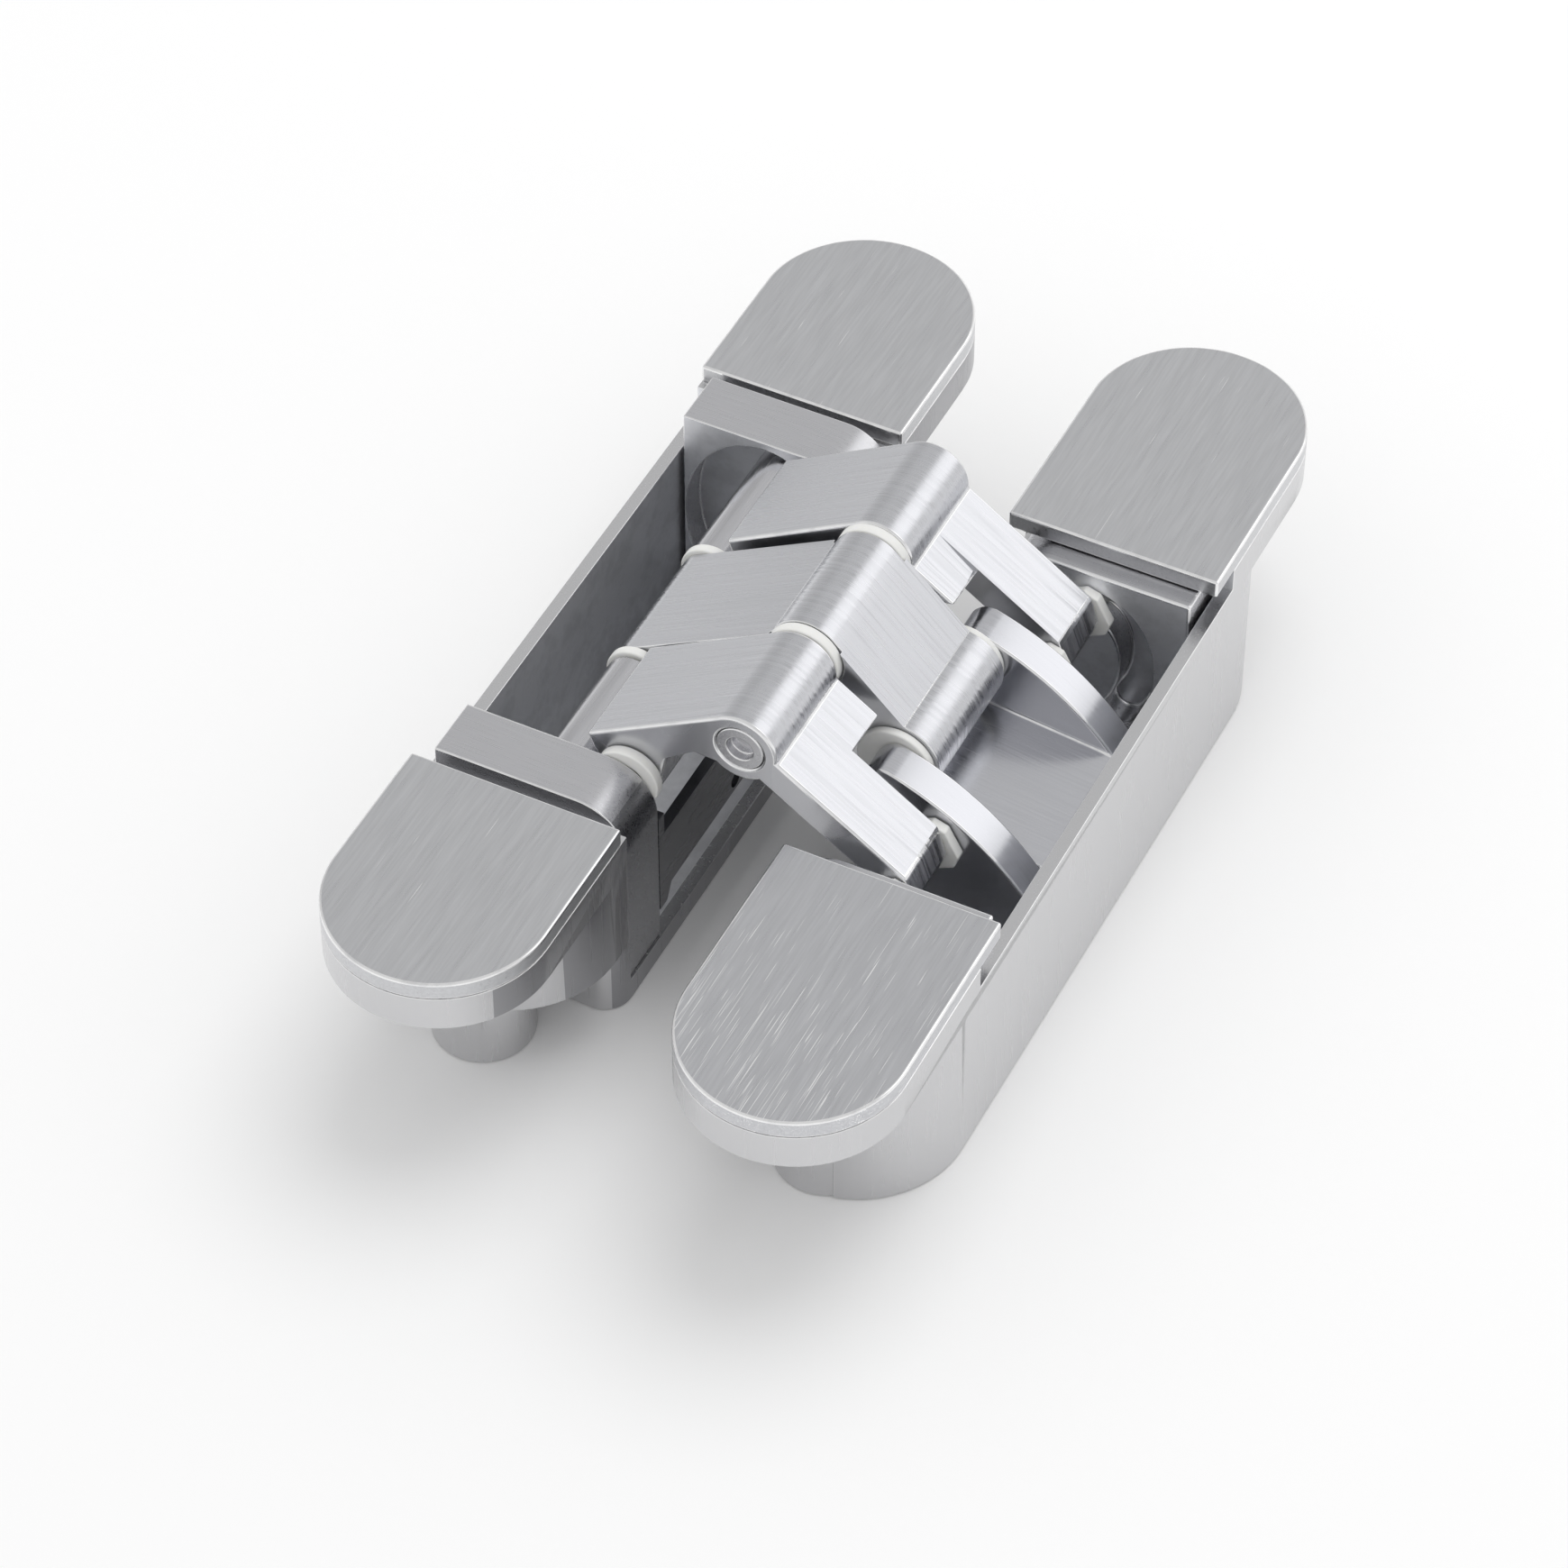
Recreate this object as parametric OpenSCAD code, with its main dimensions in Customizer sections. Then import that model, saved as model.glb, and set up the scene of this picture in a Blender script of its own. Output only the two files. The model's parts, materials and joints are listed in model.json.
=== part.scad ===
// Concealed door hinge, shown open: two mortised housings joined by a folding
// scissor of arms. X runs across the gap between the housings, Y along them and
// Z up out of the door edges. The origin is midway between the housings, on
// their floors. All sizes are in millimetres.

/* [Housings] */
// Length of each housing along the door edge
housing_l = 160; // [150:1:170]
// Width of each housing across the door edge
housing_w = 32; // [31:0.5:36]
// Depth of each housing, from the face of its caps to its floor
housing_d = 35.5; // [34.5:0.5:40]
// Gap between the two housings when the hinge is wide open
gap = 20.44; // [19.5:0.1:22]
// Thickness of the long outer wall
wall = 2; // [1.2:0.1:2.2]
// Thickness of the floor
floor_t = 1.5; // [1:0.1:1.7]
// Height of the low rail left along the open side
rail_h = 3.7; // [3:0.1:4.5]
// How far the outer wall's edge lies below the face of the caps
wall_drop = 6.7; // [5:0.1:9]
// Length of the pocket that takes the blocks
pocket_l = 83; // [83:0.1:84.5]
// Length of the deep body, round ends included
body_l = 123; // [118:1:126]
// Thickness of the end flanges, without the caps
flange_t = 5.7; // [4.5:0.1:7]
// Depth of the full-width shoulder under each flange, from the cap face
shoulder_d = 24; // [14:0.5:28]
// Diameter of the screw boss at each end
boss_d = 14.6; // [13:0.1:15.5]
// Distance between the screw bosses of one housing
boss_span = 109; // [106:0.5:111]
// Distance between the outer screw holes of one housing
screw_span = 142; // [139:0.5:144]
// Diameter of the holes for the fixing screws
screw_hole_d = 5; // [4:0.1:5.5]
// Diameter of the countersinks for the fixing screws
screw_head_d = 9.6; // [8.6:0.1:10.4]

/* [Cover caps] */
// Thickness of the caps
cap_t = 2.9; // [2.2:0.1:3.4]
// Distance between the straight edges of the two left caps
left_cap_span = 85.8; // [85:0.1:90]
// Distance between the straight edges of the two right caps
right_cap_span = 70.6; // [66.5:0.1:76]
// Diameter of the pegs under each cap
peg_d = 3.6; // [3:0.1:4.4]
// Length of the pegs
peg_l = 3; // [2:0.1:4]
// Distance between the two pegs of one cap
peg_span = 18; // [15:0.5:20]

/* [Blocks and carrier] */
// Distance between the inner faces of the blocks of one housing
block_span = 64; // [63.7:0.1:64.4]
// Thickness of each block along the housing
block_l = 9.3; // [8.6:0.1:9.3]
// Height of the left blocks over the face of the caps
left_block_rise = 0.4; // [0:0.1:1]
// How far the right blocks stay below the caps
right_block_gap = 0.2; // [0.1:0.1:1]
// Radius of the rounded corner of each block, towards the gap
block_r = 7.6; // [5:0.1:8]
// Gap between the blocks and the outer wall
block_gap = 0.6; // [0.3:0.1:1]
// Depth of the guide slots in the blocks
slot_depth = 4.2; // [3.6:0.1:5]
// Distance between the outer flanks of the two horns
horn_span = 35.2; // [34.8:0.1:35.4]
// Radius of the curved backs of the horns
horn_r = 40.9; // [38:0.1:44]
// Height of the scoop floor at the outer wall, below the face of the caps
scoop_drop = 15; // [13.5:0.1:18]

/* [Pivots] */
// Left pivot, distance in from the open side of the left housing
left_pivot_in = 5.18; // [5:0.01:5.6]
// Left pivot, depth below the face of the caps
left_pivot_drop = 3.3; // [3:0.1:3.6]
// Right pivot, distance in from the open side of the right housing
right_pivot_in = 4.88; // [4.7:0.01:5.2]
// Right pivot, depth below the face of the caps
right_pivot_drop = 4.8; // [4.5:0.1:5]
// Ridge pivot, offset to the right of the middle of the gap
ridge_x = 0.9; // [0.6:0.05:1.2]
// Ridge pivot, height over the face of the caps
ridge_rise = 8.5; // [8.2:0.1:8.8]
// Left slide axis, distance in from the open side of the left housing
left_slide_in = 14.08; // [13.9:0.01:14.3]
// Left slide axis, depth below the face of the caps
left_slide_drop = 6; // [5.8:0.1:6.3]
// Right slide axis, distance in from the open side of the right housing
right_slide_in = 13.8; // [13.5:0.01:14.1]
// Right slide axis, depth below the face of the caps
right_slide_drop = 9.2; // [8.9:0.1:9.5]
// Turn of the outer arms from open to closed, in degrees
swing = 120; // [110:1:120]
// Turn of the door leaf from open to closed, in degrees
door_turn = 180; // [165:1:180]

/* [Arms] */
// Distance between the outer faces of the two outer arms
arm_span = 60; // [59:0.1:60.4]
// Distance between the inner faces of the two outer arms
arm_inner = 23.2; // [23:0.1:23.6]
// Distance between the inner faces of the long outer strips
strip_inner = 39; // [38.6:0.1:44]
// Width of the centre arm
centre_w = 20.6; // [19.8:0.1:20.8]
// Reach of the short inner strips from the ridge
inner_reach = 12.6; // [11:0.1:12.8]
// Width of the knuckle of the centre arm
knuckle_w = 19.3; // [18:0.1:19.6]
// Radius of the ridge knuckles
knuckle_r = 5.5; // [5:0.1:5.8]
// Radius of the outer arms round the left pivot
left_eye_r = 4.4; // [3.8:0.1:4.5]
// Radius of the centre arm round the right pivot
right_eye_r = 6.2; // [5.6:0.1:6.4]
// Radius of the centre arm round the left slide axis
slide_eye_r = 4.1; // [3.8:0.1:4.2]

/* [Pins and washers] */
// Diameter of the pivot pins
pin_d = 5; // [4:0.1:5.6]
// Diameter of the head of the ridge pin
ridge_head_d = 7; // [6.2:0.1:8]
// Diameter of the right slide pins
slide_pin_d = 2.4; // [2:0.1:2.8]
// Diameter of the sleeves on the left slide pin
sleeve_d = 8.4; // [7.8:0.1:8.4]
// Diameter of the washers at the left pivot
left_washer_d = 9.6; // [8.6:0.1:9.8]
// Diameter of the washers at the right pivot
right_washer_d = 11.4; // [10:0.1:11.8]
// Diameter of the washers beside the centre arm's slide eye
slide_washer_d = 9.4; // [8.6:0.1:9.6]
// Width of the guide bosses of the nylon shoes
shoe_boss_d = 4.5; // [4:0.1:4.8]
// Length of the nylon shoes
shoe_l = 7.8; // [7:0.1:8]
// Width of the nylon shoes
shoe_w = 5.8; // [5.2:0.1:6]
// Diameter of the block screws
block_screw_d = 3; // [2.5:0.1:3.5]
// Length of the block screws
block_screw_l = 5; // [4:0.5:5]

/* [Fits] */
// Radial clearance of pins in the parts that they carry
run_fit = 0.05; // [0.03:0.01:0.1]
// Clearance between faces that slide past each other
side_fit = 0.15; // [0.1:0.01:0.2]
// Radial clearance of rollers and bosses in their guide slots
slot_fit = 0.2; // [0.15:0.01:0.3]
// Radius of the corners of the deep body, seen from below
corner_r = 4; // [2:0.5:6]

/* [Hidden] */
$fn = 64;
near = gap / 2;
far = near + housing_w;
end_r = housing_w / 2;
flange_top = housing_d - cap_t;
wall_top = housing_d - wall_drop;
block_near = near + 0.3;
block_far = far - wall - block_gap;
block_in = block_span / 2;
block_out = block_in + block_l;
carrier_near = near + 2.4;
horn_in = arm_inner / 2 + side_fit;
horn_out = horn_span / 2;
left_pivot = [-near - left_pivot_in, housing_d - left_pivot_drop];
ridge = [ridge_x, housing_d + ridge_rise];
right_pivot = [near + right_pivot_in, housing_d - right_pivot_drop];
left_slide = [-near - left_slide_in, housing_d - left_slide_drop];
right_slide = [near + right_slide_in, housing_d - right_slide_drop];
half_swing = swing / 2;
slot_steps = 24;
slot_end = block_in + slot_depth;
steel = "gainsboro";
zinc = "silver";
nylon = "ivory";

// Turn a point about the origin, from X towards Z
function turned(v, a) = [v.x * cos(a) - v.y * sin(a), v.x * sin(a) + v.y * cos(a)];
function unit(v) = v / norm(v);
// Point at s along direction d from p, and n to the side of it
function along(p, d, s, n) = p + s * d + n * [-d.y, d.x];

// Place of the left slide axis, as the outer arms turn by a
function left_path(a) = left_pivot + turned(ridge - left_pivot, a)
    + turned(left_slide - ridge, a * (door_turn - swing) / swing);
// Place of the right slide axis as the right housing sees it, at the same turn
function right_path(a) = right_pivot
    + turned(ridge - right_pivot, -swing_of_right(a))
    + turned(right_slide - ridge, -(swing_of_right(a) - centre_turn(a)));
// Turn of the right housing against the centre arm
function swing_of_right(a) = a * (door_turn / swing) - a * (door_turn - swing) / swing;
// Turn of the centre arm against the outer arms
function centre_turn(a) = a - a * (door_turn - swing) / swing;
// Direction of a path at turn a
function heading(left, a) = left ? unit(left_path(a + 0.5) - left_path(a - 0.5))
                                 : unit(right_path(a + 0.5) - right_path(a - 0.5));
function path(left, a) = left ? left_path(a) : right_path(a);
// Edge of a slot of half width r, on the side given by the sign of r
function slot_edge(left, r) = [for (i = [0:slot_steps])
    let (a = swing * i / slot_steps) along(path(left, a), heading(left, a), 0, r)];
function backwards(list) = [for (i = [len(list) - 1:-1:0]) list[i]];

// Flat outline in X and Z, drawn out along Y between y0 and y1
module across(y0, y1) {
    translate([0, y1, 0]) rotate([90, 0, 0]) linear_extrude(y1 - y0) children();
}

// Round bar along Y through point p
module rod(p, r, y0, y1) {
    translate([p.x, y1, p.y]) rotate([90, 0, 0]) cylinder(r = r, h = y1 - y0);
}

// Copy at the front and at the rear
module both_ends() {
    children();
    mirror([0, 1, 0]) children();
}

// Outline of a housing end plate or body: a bar with round ends
module capsule(length, r) {
    for (s = [-1, 1]) translate([near + end_r, s * (length / 2 - end_r)]) circle(r = r);
    translate([near + end_r - r, end_r - length / 2]) square([2 * r, length - 2 * end_r]);
}

// Countersunk hole for a fixing screw, from the flange top down to z0
module screw_hole(y, z0) {
    sink = (screw_head_d - screw_hole_d) / 2;
    translate([near + end_r, y, z0 - 1]) cylinder(d = screw_hole_d, h = flange_top - z0 + 2);
    translate([near + end_r, y, flange_top - sink])
        cylinder(d1 = screw_hole_d, d2 = screw_head_d, h = sink);
    translate([near + end_r, y, flange_top - 0.01]) cylinder(d = screw_head_d, h = 1);
}

// Fixing-hole sleeve at the boss, with a deep seat for the screw head
module boss_hole(y) {
    translate([near + end_r, y, -1]) cylinder(d = screw_hole_d, h = housing_d);
    translate([near + end_r, y, flange_top - 4]) cylinder(d = screw_head_d, h = 6);
}

// Plan of the deep body: square ended with a screw boss beyond each end.
// keep_far adds the outer half of the round ends.
module deep_plan(keep_far) {
    l = pocket_l / 2 + 4;
    boss_y = boss_span / 2;
    for (x = [near + corner_r, far - corner_r], y = [corner_r - l, l - corner_r])
        translate([x, y]) circle(r = corner_r);
    translate([near, corner_r - l]) square([housing_w, 2 * (l - corner_r)]);
    translate([near + corner_r, -l]) square([housing_w - 2 * corner_r, 2 * l]);
    for (s = [-1, 1]) translate([near + end_r, s * boss_y]) circle(d = boss_d);
    translate([near + end_r - boss_d / 4, -boss_y]) square([boss_d / 2, 2 * boss_y]);
    if (keep_far) difference() {
        capsule(body_l, end_r);
        translate([near - 1, -body_l]) square([housing_w * 0.63 + 1, 2 * body_l]);
    }
}

// Deep body, with a full-width shoulder under the flanges
module body(keep_far) {
    shoulder_z = housing_d - shoulder_d;
    linear_extrude(shoulder_z + 1) deep_plan(keep_far);
    translate([0, 0, shoulder_z]) linear_extrude(flange_top - shoulder_z)
        capsule(body_l, end_r);
}

// One housing, drawn on the right of the gap
module housing(keep_far) {
    difference() {
        union() {
            body(keep_far);
            translate([0, 0, flange_top - flange_t]) linear_extrude(flange_t)
                capsule(housing_l, end_r);
        }
        // Pocket for the blocks and arms, open towards the gap over its rail
        translate([near + wall, -pocket_l / 2, floor_t])
            cube([housing_w - 2 * wall, pocket_l, housing_d]);
        translate([near - 1, -pocket_l / 2, rail_h])
            cube([wall + 2, pocket_l, housing_d]);
        // Low edge of the outer wall
        translate([far - wall - 1, -pocket_l / 2, wall_top])
            cube([wall + 2, pocket_l, housing_d]);
        both_ends() {
            screw_hole(screw_span / 2, flange_top - flange_t);
            boss_hole(boss_span / 2);
            for (s = [-1, 1])
                translate([near + end_r + s * peg_span / 2, peg_y(), flange_top - peg_l - 0.4])
                    cylinder(d = peg_d + 2 * run_fit, h = peg_l + 1);
            block_screw_places(0) screw_seat();
        }
    }
}

function peg_y() = (screw_span + boss_span) / 4;

module left_housing() {
    color(zinc) mirror([1, 0, 0]) housing(false);
}

module right_housing() {
    color(zinc) difference() {
        housing(true);
        carrier_screw_places() screw_seat();
    }
}

// Cover cap over the rear end of the right housing, with its straight edge at y0
module cap(y0) {
    translate([0, 0, flange_top]) linear_extrude(cap_t) intersection() {
        capsule(housing_l, end_r);
        translate([near, y0]) square([housing_w, housing_l / 2]);
    }
    for (s = [-1, 1])
        translate([near + end_r + s * peg_span / 2, peg_y(), flange_top - peg_l])
            cylinder(d = peg_d, h = peg_l + 0.5);
}

module right_cap_rear() {
    color(steel) cap(right_cap_span / 2);
}

module right_cap_front() {
    color(steel) mirror([0, 1, 0]) cap(right_cap_span / 2);
}

module left_cap_rear() {
    color(steel) mirror([1, 0, 0]) cap(left_cap_span / 2);
}

module left_cap_front() {
    color(steel) mirror([1, 0, 0]) mirror([0, 1, 0]) cap(left_cap_span / 2);
}

// Countersunk screws through a housing floor: places, seat and screw
module block_screw_places(z) {
    for (u = [0.22, 0.78])
        translate([near + u * housing_w, block_in + block_l / 2, z]) children();
}

module carrier_screw_places() {
    for (s = [-1, 1]) translate([near + end_r, s * (horn_in + horn_out) / 2, 0]) children();
}

module screw_seat() {
    translate([0, 0, -1]) cylinder(d = block_screw_d + 0.4, h = floor_t + 2);
    translate([0, 0, -0.01])
        cylinder(d1 = block_screw_d * 1.8 + 0.2, d2 = block_screw_d + 0.2, h = block_screw_d * 0.4);
}

module floor_screw() {
    difference() {
        union() {
            cylinder(d = block_screw_d, h = block_screw_l);
            cylinder(d1 = block_screw_d * 1.8, d2 = block_screw_d, h = block_screw_d * 0.4);
        }
        translate([0, 0, -1]) cylinder(d = block_screw_d * 0.7, h = 1.8, $fn = 6);
    }
}

// Outline of a block, with its top at z and one round corner towards the gap
module block_outline(z) {
    difference() {
        translate([block_near, floor_t]) square([block_far - block_near, z - floor_t]);
        translate([block_near - 1, 0]) square([near + wall + side_fit - block_near + 1, rail_h + side_fit]);
        difference() {
            translate([block_near - 1, z - block_r]) square([block_r + 1, block_r + 1]);
            translate([block_near + block_r, z - block_r]) circle(r = block_r);
        }
    }
}

// Guide slot along the path of a slide axis
module guide_slot(left, r) {
    across(block_in - 1, slot_end)
        polygon(concat(slot_edge(left, r), backwards(slot_edge(left, -r))));
    for (a = [0, swing]) rod(path(left, a), r, block_in - 1, slot_end);
}

module left_block_rear() {
    color(zinc) difference() {
        mirror([1, 0, 0]) across(block_in, block_out)
            block_outline(housing_d + left_block_rise);
        guide_slot(true, sleeve_d / 2 + slot_fit);
        rod(left_pivot, pin_d / 2 + run_fit, block_in - 1, slot_end);
        mirror([1, 0, 0]) block_screw_places(0) screw_bore();
    }
}

module left_block_front() {
    mirror([0, 1, 0]) left_block_rear();
}

module screw_bore() {
    cylinder(d = block_screw_d + 2 * run_fit, h = block_screw_l + 0.4);
}

module right_block_rear() {
    color(zinc) difference() {
        across(block_in, block_out) block_outline(flange_top - right_block_gap);
        guide_slot(false, shoe_boss_d / 2 + slot_fit);
        block_screw_places(0) screw_bore();
    }
}

module right_block_front() {
    mirror([0, 1, 0]) right_block_rear();
}

// Carrier of the right pivot: two curved horns beside a hollow scoop
module horn_outline() {
    corner = 4.5;
    intersection() {
        difference() {
            translate([carrier_near, floor_t])
                square([block_far - carrier_near, housing_d]);
            difference() {
                translate([carrier_near - 1, housing_d - corner])
                    square([corner + 1, corner + 1]);
                translate([carrier_near + corner, housing_d - corner]) circle(r = corner);
            }
        }
        translate([right_pivot.x + 1.1, housing_d]) translate([-11.4, -horn_r + 1.5])
            circle(r = horn_r, $fn = 180);
        translate([carrier_near, 0]) square([housing_w, housing_d - 0.3]);
    }
}

module scoop_outline() {
    hollow_r = right_eye_r + 1.2;
    difference() {
        polygon([[carrier_near, floor_t], [block_far, floor_t],
                 [block_far, housing_d - scoop_drop],
                 [right_pivot.x, right_pivot.y - hollow_r],
                 [carrier_near, right_pivot.y - hollow_r + 1]]);
        translate(right_pivot) circle(r = hollow_r);
    }
}

module horn_carrier() {
    color(zinc) difference() {
        union() {
            both_ends() across(horn_in, horn_out) horn_outline();
            across(-horn_in, horn_in) scoop_outline();
        }
        rod(right_pivot, pin_d / 2 + run_fit, -horn_out - 1, horn_out + 1);
        carrier_screw_places() screw_bore();
    }
}

// Outer arm seen from the side: knuckle, left plate, eye and long strip
left_dir = unit(left_pivot - ridge);
left_run = norm(left_pivot - ridge);
right_dir = unit([1, -0.687]);
slide_s = (right_slide - ridge) * right_dir;
slide_n = (right_slide - ridge) * [-right_dir.y, right_dir.x];
function on_left(s, n) = along(ridge, left_dir, s, -n);
function on_right(s, n) = along(ridge, right_dir, s, n);

module left_plate() {
    difference() {
        union() {
            polygon([on_left(0, knuckle_r), on_left(left_run + 3.1, knuckle_r + 1.9),
                     on_left(left_run + 3.7, left_eye_r + 0.8),
                     on_left(left_run + left_eye_r * 0.9, left_eye_r * 0.4),
                     on_left(left_run, 0), on_left(left_run - left_eye_r * 0.75, -left_eye_r * 0.6),
                     on_left(left_run - 7, 0.9), on_left(8, 1), on_left(knuckle_r * 0.8, -2),
                     on_left(0, -1)]);
            translate(left_pivot) circle(r = left_eye_r);
            translate(ridge) circle(r = knuckle_r);
        }
        translate(left_slide) circle(r = sleeve_d / 2 + 0.3);
    }
}

plate_top = 2.8;
plate_t = 5;

module inner_strip() {
    polygon([on_right(0, plate_top), on_right(inner_reach, plate_top),
             on_right(inner_reach - plate_t * 0.95, plate_top - plate_t),
             on_right(0, plate_top - plate_t)]);
}

module long_strip() {
    polygon([on_right(0, plate_top), on_right(slide_s - 0.9, plate_top),
             on_right(slide_s + 2.6, slide_n + 1.6), on_right(slide_s + 3.2, slide_n - 0.8),
             on_right(slide_s + 1.4, slide_n - 3), on_right(slide_s - 1.9, slide_n - 2.8),
             on_right(slide_s - 4, plate_top - plate_t), on_right(0, plate_top - plate_t)]);
}

module outer_arm_rear() {
    y0 = arm_inner / 2;
    y1 = arm_span / 2;
    color(steel) difference() {
        union() {
            across(y0, y1) left_plate();
            across(y0, strip_inner / 2) inner_strip();
            across(strip_inner / 2, y1) long_strip();
        }
        rod(ridge, pin_d / 2 + run_fit, y0 - 1, y1 + 1);
        rod(ridge, ridge_head_d / 2 + run_fit, y1 - 1.8, y1 + 1);
        rod(left_pivot, pin_d / 2 + run_fit, y0 - 1, y1 + 1);
        rod(right_slide, slide_pin_d / 2 + run_fit, strip_inner / 2 - 1, y1 + 1);
    }
}

module outer_arm_front() {
    mirror([0, 1, 0]) outer_arm_rear();
}

// Centre arm: knuckle, flat plate down to the right pivot, lower plate to the left
centre_dir = unit([1, -1]);
centre_run = norm(right_pivot - ridge);
low_dir = unit(left_slide + [0.72, -1.44] * -1 - ridge);
function on_centre(s, n) = along(ridge, centre_dir, s, n);

module centre_right_plate() {
    polygon([on_centre(0, knuckle_r), on_centre(centre_run + 3.4, knuckle_r),
             on_centre(centre_run + 2.6, 1), on_centre(centre_run - 4, -1),
             on_centre(0, -1)]);
    translate(right_pivot) circle(r = right_eye_r);
}

module centre_left_plate() {
    reach = left_slide - ridge;
    d = unit(reach);
    polygon([along(ridge, d, 0, -slide_eye_r), along(ridge, d, norm(reach), -slide_eye_r),
             along(ridge, d, norm(reach), slide_eye_r - 3), along(ridge, d, 0, 1)]);
    translate(left_slide) circle(r = slide_eye_r);
}

module centre_arm() {
    y1 = centre_w / 2;
    color(steel) difference() {
        union() {
            difference() {
                across(-y1, y1) {
                    centre_right_plate();
                    centre_left_plate();
                }
                both_ends() rod(ridge, knuckle_r + 0.3, knuckle_w / 2, y1 + 1);
            }
            rod(ridge, knuckle_r, -knuckle_w / 2, knuckle_w / 2);
        }
        rod(ridge, pin_d / 2 + run_fit, -y1 - 1, y1 + 1);
        rod(right_pivot, pin_d / 2 + run_fit, -y1 - 1, y1 + 1);
        rod(left_slide, pin_d / 2 + run_fit, -y1 - 1, y1 + 1);
    }
}

// Ridge pin with a sunk head at each end and a socket in the head
module ridge_pin() {
    y1 = arm_span / 2;
    color(steel) difference() {
        union() {
            rod(ridge, pin_d / 2, -y1 + 1, y1 - 1);
            both_ends() rod(ridge, ridge_head_d / 2, y1 - 1.7, y1 - 0.1);
        }
        both_ends() rod(ridge, ridge_head_d * 0.28, y1 - 1.4, y1 + 1);
    }
}

// Washer round point p, between y0 and y1, on both sides
module washers(p, d, bore_d, y0, y1) {
    both_ends() difference() {
        rod(p, d / 2, y0, y1);
        rod(p, bore_d / 2 + run_fit, y0 - 1, y1 + 1);
    }
}

module ridge_washers() {
    color(nylon)
        washers(ridge, 2 * knuckle_r, pin_d, knuckle_w / 2 + side_fit, arm_inner / 2 - side_fit / 2);
}

module left_pivot_pins() {
    color(steel) both_ends() rod(left_pivot, pin_d / 2, arm_inner / 2 + 0.5, slot_end - 0.2);
}

module left_pivot_washers() {
    color(nylon)
        washers(left_pivot, left_washer_d, pin_d, arm_span / 2 + side_fit, block_in - side_fit);
}

module right_pivot_pin() {
    color(steel) rod(right_pivot, pin_d / 2, -horn_out + 0.2, horn_out - 0.2);
}

module right_pivot_washers() {
    color(nylon)
        washers(right_pivot, right_washer_d, pin_d, centre_w / 2 + side_fit / 2, horn_in - side_fit / 2);
}

module left_slide_pin() {
    color(steel) rod(left_slide, pin_d / 2, -slot_end + 0.4, slot_end - 0.4);
}

module left_slide_sleeves() {
    color(steel)
        washers(left_slide, sleeve_d, pin_d, arm_inner / 2 + 0.55, slot_end - 0.4);
}

module left_slide_washers() {
    color(nylon)
        washers(left_slide, slide_washer_d, pin_d, centre_w / 2 + side_fit, arm_inner / 2 + 0.4);
}

module right_slide_pins() {
    color(steel) both_ends()
        rod(right_slide, slide_pin_d / 2, horn_out + side_fit + 0.2, slot_end - 0.4);
}

// Nylon shoe: a plate with cut corners, along the strip
module shoe_plate(y0, y1) {
    cut = 1.6;
    l = shoe_l / 2;
    w = shoe_w / 2;
    translate([right_slide.x + 0.9, 0, right_slide.y]) rotate([0, 62, 0])
        across(y0, y1) polygon([[-l, cut - w], [cut - l, -w], [l - cut, -w], [l, cut - w],
                                [l, w - cut], [l - cut, w], [cut - l, w], [-l, w - cut]]);
}

module outer_shoes() {
    y0 = arm_span / 2 + side_fit;
    color(nylon) both_ends() difference() {
        union() {
            shoe_plate(y0, block_in - side_fit);
            rod(right_slide, shoe_boss_d / 2, y0, slot_end - 0.3);
        }
        rod(right_slide, slide_pin_d / 2 + run_fit, y0 - 1, slot_end + 1);
    }
}

module inner_shoes() {
    y0 = horn_out + side_fit;
    y1 = strip_inner / 2 - side_fit / 2;
    color(nylon) both_ends() difference() {
        shoe_plate(y0, y1);
        rod(right_slide, slide_pin_d / 2 + run_fit, y0 - 1, y1 + 1);
    }
}

module left_block_screws() {
    color(steel) mirror([1, 0, 0]) both_ends() block_screw_places(0) floor_screw();
}

module right_block_screws() {
    color(steel) both_ends() block_screw_places(0) floor_screw();
}

module carrier_screws() {
    color(steel) carrier_screw_places() floor_screw();
}

left_housing();
right_housing();
left_cap_front();
left_cap_rear();
right_cap_front();
right_cap_rear();
left_block_front();
left_block_rear();
right_block_front();
right_block_rear();
horn_carrier();
outer_arm_front();
outer_arm_rear();
centre_arm();
ridge_pin();
ridge_washers();
left_pivot_pins();
left_pivot_washers();
right_pivot_pin();
right_pivot_washers();
left_slide_pin();
left_slide_sleeves();
left_slide_washers();
right_slide_pins();
outer_shoes();
inner_shoes();
left_block_screws();
right_block_screws();
carrier_screws();
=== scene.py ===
import json
import math

import bmesh
import bpy
from mathutils import Matrix, Vector


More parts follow.
